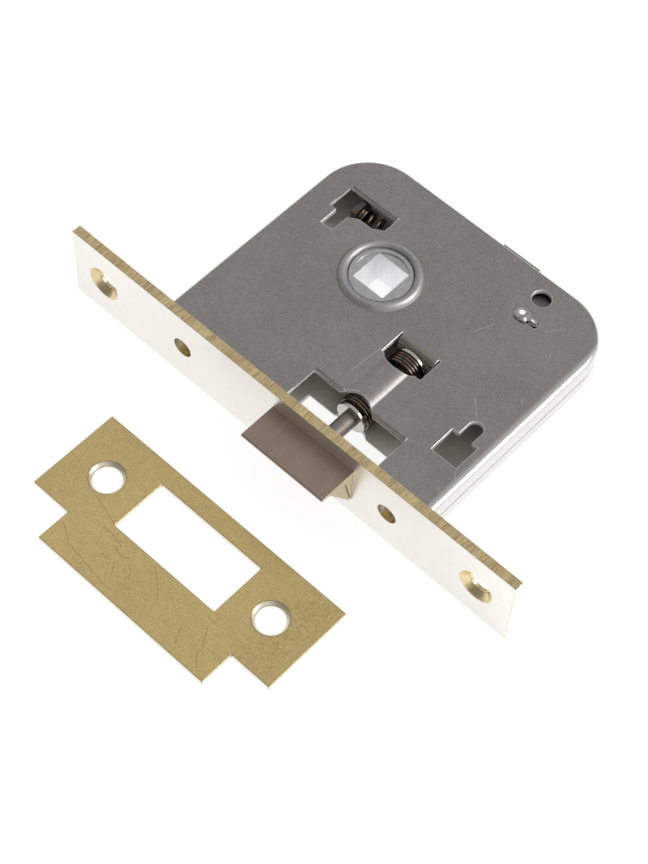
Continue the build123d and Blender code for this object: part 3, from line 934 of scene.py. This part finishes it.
def coil(name, start, end, outside, wire, turns, closed, material):
    """Coil spring between two points on its axis, with closed turns at both ends."""
    axis = (end - start).normalized()
    side = axis.orthogonal().normalized()
    up = axis.cross(side)
    radius = outside / 2 - wire / 2
    around, along = 10, 44
    # The closed turns lie on each other, with a hair's gap
    closed_pitch = wire * 1.04
    length = (end - start).length - wire
    open_pitch = (length - 2 * closed * closed_pitch) / (turns - 2 * closed)
    points = []
    travel = wire / 2
    steps = turns * along
    for step in range(steps + 1):
        turn = step / along
        angle = 2 * math.pi * turn
        points.append(start + axis * travel + (side * math.cos(angle) + up * math.sin(angle)) * radius)
        middle = (step + 0.5) / along
        travel += (closed_pitch if middle < closed or middle > turns - closed else open_pitch) / along
    verts, faces = [], []
    for index, point in enumerate(points):
        ahead = points[min(index + 1, steps)] - points[max(index - 1, 0)]
        out = point - start
        out = (out - axis * out.dot(axis)).normalized()
        flat = ahead.normalized().cross(out)
        for spoke in range(around):
            angle = 2 * math.pi * spoke / around
            verts.append(point + (out * math.cos(angle) + flat * math.sin(angle)) * wire / 2)
    for index in range(steps):
        for spoke in range(around):
            near, far = index * around, (index + 1) * around
            beside = (spoke + 1) % around
            faces.append((near + spoke, near + beside, far + beside, far + spoke))
    faces.append(tuple(reversed(range(around))))
    faces.append(tuple(range(steps * around, (steps + 1) * around)))
    return new_piece(name, verts, faces, material)


def lean(mesh, normals):
    """Gives each point of a mesh the lean of the rolled surface that the eye sees there."""
    mesh.normals_split_custom_set_from_vertices([normal.normalized() for normal in normals])


def collar(name, side, material):
    """Rolled collar round the follower, on the upper or the lower side of the case."""
    around = 96
    verts, faces, normals = [], [], []
    for spoke in range(around):
        angle = 2 * math.pi * spoke / around
        out = Vector((math.cos(angle), math.sin(angle), 0))
        for reach, rise, slope in COLLAR_SECTION:
            place = Vector((*FOLLOWER_AXIS, side * (CASE_FACE + rise))) + out * reach
            verts.append(place * MM)
            turn = math.radians(slope)
            normals.append(out * math.sin(turn) + Vector((0, 0, side * math.cos(turn))))
    count = len(COLLAR_SECTION)
    for spoke in range(around):
        near, far = spoke * count, (spoke + 1) % around * count
        for index in range(count):
            after = (index + 1) % count
            face = (near + index, far + index, far + after, near + after)
            faces.append(face if side > 0 else tuple(reversed(face)))
    piece = new_piece(name, verts, faces, material)
    lean(piece.data, normals)
    return piece


def slot_burr(name, front, back, material):
    """Thin rim that the punch draws in round the bolt's slot, from the plate's front to its back."""
    wide, high = BOLT_HALF
    rings = (
        (BURR_REACH, front + BURR_FRONT),
        (BURR_CLEARANCE, front + BURR_FRONT),
        (BURR_CLEARANCE, back - BURR_BACK),
        (BURR_REACH, back - BURR_BACK),
    )
    verts, faces = [], []
    for grow, y in rings:
        for across, up in SQUARE:
            verts.append(Vector((BOLT_X + across * (wide + grow), y, up * (high + grow))) * MM)
    for ring in range(len(rings)):
        after = (ring + 1) % len(rings)
        for corner in range(4):
            beside = (corner + 1) % 4
            faces.append((4 * ring + corner, 4 * ring + beside, 4 * after + beside, 4 * after + corner))
    piece = new_piece(name, verts, faces, material)
    piece.data.shade_flat()
    return piece


def beaten_lean(lobe, place, fall):
    """Lean of the beaten tip at one place on its dome or toe; fall is 0 at the middle and 1 at the rim."""
    up = Vector((0, 0, 1))
    if lobe is STAKE_TOE:
        turn = Vector(TOE_LEAN) * (1 - fall) + up * fall
    else:
        across = place.x - CREASE_PLACE[0] - CREASE_SLOPE * (place.y - CREASE_PLACE[1])
        crease = math.exp(-((across / CREASE_HALF) ** 2)) * (1 - fall)
        turn = up - Vector(CREASE_LEAN) * crease
    for spot, half_length, half_width in lobe[-1]:
        off = place - Vector(spot)
        off = Vector((off.x / half_length, off.y / half_width, 0))
        if off.length < 1:
            turn = turn.lerp(Vector(MARK_LEAN) + 0.35 * off, (1 - off.length) ** 0.5)
    return turn


def staked_tip(name, material):
    """End of the tongue, beaten over the cover: a bright dome, a crease, and a toe that closes its slot."""
    columns, rows = 48, 36
    wide = columns + 1
    verts, faces, normals = [], [], []
    for lobe in (STAKE_DOME, STAKE_TOE):
        middle, half_length, half_width, height, _ = lobe
        first = len(verts)
        for row in range(rows + 1):
            for column in range(columns + 1):
                # Square grid drawn onto a disc, so that the rim is one clean line
                u, v = 2 * column / columns - 1, 2 * row / rows - 1
                x = u * math.sqrt(1 - v * v / 2)
                y = v * math.sqrt(1 - u * u / 2)
                fall = min(1, abs(x) ** STAKE_ROUND + abs(y) ** STAKE_ROUND)
                place = Vector((middle[0] + x * half_length, middle[1] + y * half_width))
                rise = height * (1 - fall) ** (1 / STAKE_ROUND)
                verts.append(Vector((*place, CASE_FACE - STAKE_SINK + rise)) * MM)
                normals.append(beaten_lean(lobe, place, fall))
        for row in range(rows):
            for column in range(columns):
                corner = first + row * wide + column
                faces.append((corner, corner + 1, corner + wide + 1, corner + wide))
        rim = list(range(columns))
        rim += [row * wide + columns for row in range(rows)]
        rim += [rows * wide + column for column in range(columns, 0, -1)]
        rim += [row * wide for row in range(rows, 0, -1)]
        faces.append(tuple(first + corner for corner in reversed(rim)))
    piece = new_piece(name, verts, faces, material)
    lean(piece.data, normals)
    return piece


def post(name, middle, section, material):
    """Turned post inside the case; its section gives distances from its axis and heights in millimetres."""
    around = 48
    verts, faces = [], []
    for reach, height in section:
        for spoke in range(around):
            angle = 2 * math.pi * spoke / around
            out = Vector((math.cos(angle), math.sin(angle), 0)) * reach
            verts.append((Vector((*middle, height)) + out) * MM)
    last = (len(section) - 1) * around
    for near in range(0, last, around):
        for spoke in range(around):
            beside = (spoke + 1) % around
            faces.append((near + spoke, near + beside, near + around + beside, near + around + spoke))
    faces.append(tuple(reversed(range(around))))
    faces.append(tuple(range(last, last + around)))
    piece = new_piece(name, verts, faces, material)
    piece.data.shade_flat()
    return piece


class LATCH_OT_case(bpy.types.Operator):
    """Dresses the two pressed shells of the case and adds their collars, the staked tip and the post"""

    bl_idname = "latch.case"
    bl_label = "Case"

    def execute(self, context):
        sizes, colours = context.scene.latch_sizes, context.scene.latch_colours
        edge = cut_steel(colours)
        cover = case_steel(colours, "zinc_plated_cover_steel", COVER_SCRATCHES, 1)
        dress("case_cover", cover, sizes.sheet_round, edge, clamped=False)
        body = case_steel(colours, "zinc_plated_body_steel", (), 0.7)
        dress("case_body", body, sizes.sheet_round, edge)
        drawn = worked_steel("drawn_collar_steel", tuple(colours.drawn_steel), 0.48)
        beaten = worked_steel("beaten_tip_steel", tuple(colours.beaten_steel), 0.4)
        turned = worked_steel("turned_post_steel", scaled(tuple(colours.case_steel), 0.65), 0.45)
        pieces = (
            collar("upper_collar", 1, drawn),
            collar("lower_collar", -1, drawn),
            staked_tip("staked_tip", beaten),
            post("rear_post", REAR_HOLE, POST_SECTION, turned),
        )
        for piece in pieces:
            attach(piece, "latch_case")
        return {"FINISHED"}


class LATCH_OT_faceplate(bpy.types.Operator):
    """Dresses the faceplate and its rivets"""

    bl_idname = "latch.faceplate"
    bl_label = "Faceplate"

    def execute(self, context):
        sizes, colours = context.scene.latch_sizes, context.scene.latch_colours
        brassed = brassed_plate(colours)
        worn = worn_corner("worn_brassed_corner", tuple(colours.worn_front))
        dress("faceplate", brassed, sizes.plate_round, worn)
        low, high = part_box("faceplate")
        burr = slot_burr("slot_burr", low.y / MM, high.y / MM, brassed)
        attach(burr, "latch_case")
        dress("faceplate_rivets", brassed_rivet(colours), sizes.small_round)
        return {"FINISHED"}


class LATCH_OT_bolt(bpy.types.Operator):
    """Dresses the bolt, its stem, the washers and the tail plate"""

    bl_idname = "latch.bolt"
    bl_label = "Bolt"

    def execute(self, context):
        sizes, colours = context.scene.latch_sizes, context.scene.latch_colours
        dress("latch_bolt", bronzed_steel(colours), sizes.bolt_round)
        turned = turned_steel(colours)
        for node in ("bolt_stem", "tail_plate"):
            dress(node, turned, sizes.small_round)
        polished = polished_washer(colours)
        for node in ("stem_washer", "seat_washer"):
            dress(node, polished, sizes.small_round)
        return {"FINISHED"}


class LATCH_OT_follower(bpy.types.Operator):
    """Dresses the follower and the plunger that it pushes"""

    bl_idname = "latch.follower"
    bl_label = "Follower"

    def execute(self, context):
        sizes, colours = context.scene.latch_sizes, context.scene.latch_colours
        dress("follower", cast_alloy(colours), sizes.fine_round)
        dress("return_plunger", oiled_steel(colours), sizes.small_round)
        return {"FINISHED"}


class LATCH_OT_springs(bpy.types.Operator):
    """Winds the two coil springs in the place of their sleeves"""

    bl_idname = "latch.springs"
    bl_label = "Springs"

    def execute(self, context):
        sizes, colours = context.scene.latch_sizes, context.scene.latch_colours
        wire = tempered_wire(colours)
        for name, node, joint, run, fixed_end, turns, closed in (
            ("bolt_coil", "bolt_spring", "bolt_slide", 1, 1, sizes.bolt_turns, 3.5),
            ("return_coil", "return_spring", "plunger_slide", 0, 0, sizes.return_turns, 1.5),
        ):
            low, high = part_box(node)
            middle = (low + high) / 2
            start, end = middle.copy(), middle.copy()
            start[run], end[run] = low[run], high[run]
            outside = high[2] - low[2]
            piece = coil(name, start, end, outside, sizes.wire, turns, closed, wire)
            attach(piece, "latch_case")
            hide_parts(node)
            axis = Vector((0, 0, 0))
            axis[run] = 1
            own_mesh(piece)
        return {"FINISHED"}


class LATCH_OT_strike(bpy.types.Operator):
    """Dresses the strike plate"""

    bl_idname = "latch.strike"
    bl_label = "Strike plate"

    def execute(self, context):
        sizes, colours = context.scene.latch_sizes, context.scene.latch_colours
        worn = worn_corner("worn_brass_corner", tuple(colours.worn_strike))
        dress("strike_plate", satin_brass(colours), sizes.plate_round, worn)
        return {"FINISHED"}


class LATCH_OT_stage(bpy.types.Operator):
    """Lays the pale floor and sets the lights and the camera"""

    bl_idname = "latch.stage"
    bl_label = "Stage"

    def execute(self, context):
        scene = context.scene
        scene.view_settings.view_transform = "Standard"
        self.lay_floor(scene)
        self.light_world(scene)
        self.hang_lamp(scene)
        self.set_camera(scene)
        return {"FINISHED"}

    def lay_floor(self, scene):
        mesh = bpy.data.meshes.new("floor")
        corners = [(x * FLOOR_REACH, y * FLOOR_REACH, cad_low.z) for x, y in SQUARE]
        mesh.from_pydata(corners, [], [(0, 1, 2, 3)])
        floor = bpy.data.objects.new("floor", mesh)
        scene.collection.objects.link(floor)
        material = bpy.data.materials.new("matt_white_table")
        material.use_nodes = True
        tree = material.node_tree
        tree.nodes.clear()
        matt = add_node(tree, "ShaderNodeBsdfDiffuse", None, {"Color": (*scene.latch_colours.floor, 1)})
        path = add_node(tree, "ShaderNodeLightPath")
        rays = ("Is Camera Ray", "Is Glossy Ray", "Is Transmission Ray")
        seen = highest(tree, [path.outputs[ray] for ray in rays])
        lift = add_node(tree, "ShaderNodeMath", {"operation": "MULTIPLY"}, {0: seen, 1: FLOOR_GLOW})
        glow = add_node(tree, "ShaderNodeEmission", None, {"Strength": lift.outputs[0]})
        both = add_node(tree, "ShaderNodeAddShader", None, {0: matt.outputs[0], 1: glow.outputs[0]})
        add_node(tree, "ShaderNodeOutputMaterial", None, {"Surface": both.outputs[0]})
        mesh.materials.append(material)

    def light_world(self, scene):
        world = bpy.data.worlds.new("soft_studio")
        scene.world = world
        world.use_nodes = True
        tree = world.node_tree
        tree.nodes.clear()
        place = add_node(tree, "ShaderNodeTexCoord")
        levels = []
        for way, low, high, away, towards in (
            (LIGHT_SIDE, 0.1, 0.9, ROOM_LEVEL, LIGHT_SIDE_LEVEL),
            (DARK_SIDE, 0.4, 0.95, 1, DARK_SIDE_SHARE),
        ):
            side = add_node(
                tree,
                "ShaderNodeVectorMath",
                {"operation": "DOT_PRODUCT"},
                {0: place.outputs["Generated"], 1: way},
            ).outputs["Value"]
            level = add_node(
                tree,
                "ShaderNodeMapRange",
                {"interpolation_type": "SMOOTHSTEP"},
                {"Value": side, "From Min": low, "From Max": high, "To Min": away, "To Max": towards},
            )
            levels.append(level.outputs[0])
        strength = add_node(
            tree, "ShaderNodeMath", {"operation": "MULTIPLY"}, {0: levels[0], 1: levels[1]}
        )
        path = add_node(tree, "ShaderNodeLightPath")
        seen = highest(tree, [strength.outputs[0], path.outputs["Is Camera Ray"]])
        sky = add_node(tree, "ShaderNodeBackground", None, {"Color": (1, 1, 1, 1), "Strength": seen})
        add_node(tree, "ShaderNodeOutputWorld", None, {"Surface": sky.outputs[0]})

    def hang_lamp(self, scene):
        lamp = bpy.data.lights.new("soft_key", "AREA")
        lamp.shape = "DISK"
        lamp.size = LAMP_SIZE
        lamp.energy = LAMP_POWER
        hung = bpy.data.objects.new("soft_key", lamp)
        scene.collection.objects.link(hung)
        way = Vector(LAMP_WAY).normalized()
        hung.location = way * LAMP_DISTANCE + Vector(LAMP_AIM)
        hung.rotation_mode = "QUATERNION"
        hung.rotation_quaternion = way.to_track_quat("Z", "Y")

    def set_camera(self, scene):
        camera = bpy.data.cameras.new("camera")
        camera.sensor_width = SENSOR
        camera.lens = FOCAL_PIXELS * SENSOR / FRAME_HEIGHT
        camera.clip_start = 10 * MM
        camera.clip_end = 10
        stand = bpy.data.objects.new("camera", camera)
        scene.collection.objects.link(stand)
        right, look = Vector(CAMERA_RIGHT).normalized(), Vector(CAMERA_LOOK).normalized()
        up = right.cross(look)
        turn = Matrix((right, up, -look)).transposed().to_4x4()
        stand.matrix_world = Matrix.Translation(Vector(CAMERA_PLACE) * MM) @ turn
        scene.camera = stand


OPERATORS = (
    LATCH_OT_case,
    LATCH_OT_faceplate,
    LATCH_OT_bolt,
    LATCH_OT_follower,
    LATCH_OT_springs,
    LATCH_OT_strike,
    LATCH_OT_stage,
)


class LATCH_PT_panel(bpy.types.Panel):
    """Lists the pieces of the latch"""

    bl_idname = "LATCH_PT_panel"
    bl_label = "Door latch"
    bl_space_type = "VIEW_3D"
    bl_region_type = "UI"
    bl_category = "Latch"

    def draw(self, context):
        for operator in OPERATORS:
            self.layout.operator(operator.bl_idname)
        for group in (context.scene.latch_sizes, context.scene.latch_colours):
            for name in group.bl_rna.properties.keys():
                if name not in ("rna_type", "name"):
                    self.layout.prop(group, name)


CLASSES = (LatchSizes, LatchColours, *OPERATORS, LATCH_PT_panel)


def register():
    for kind in CLASSES:
        bpy.utils.register_class(kind)
    bpy.types.Scene.latch_sizes = PointerProperty(type=LatchSizes)
    bpy.types.Scene.latch_colours = PointerProperty(type=LatchColours)


def unregister():
    del bpy.types.Scene.latch_sizes
    del bpy.types.Scene.latch_colours
    for kind in reversed(CLASSES):
        bpy.utils.unregister_class(kind)


def main():
    register()
    bpy.ops.latch.case()
    bpy.ops.latch.faceplate()
    bpy.ops.latch.bolt()
    bpy.ops.latch.follower()
    bpy.ops.latch.springs()
    bpy.ops.latch.strike()
    bpy.ops.latch.stage()


if __name__ == "__main__":
    main()
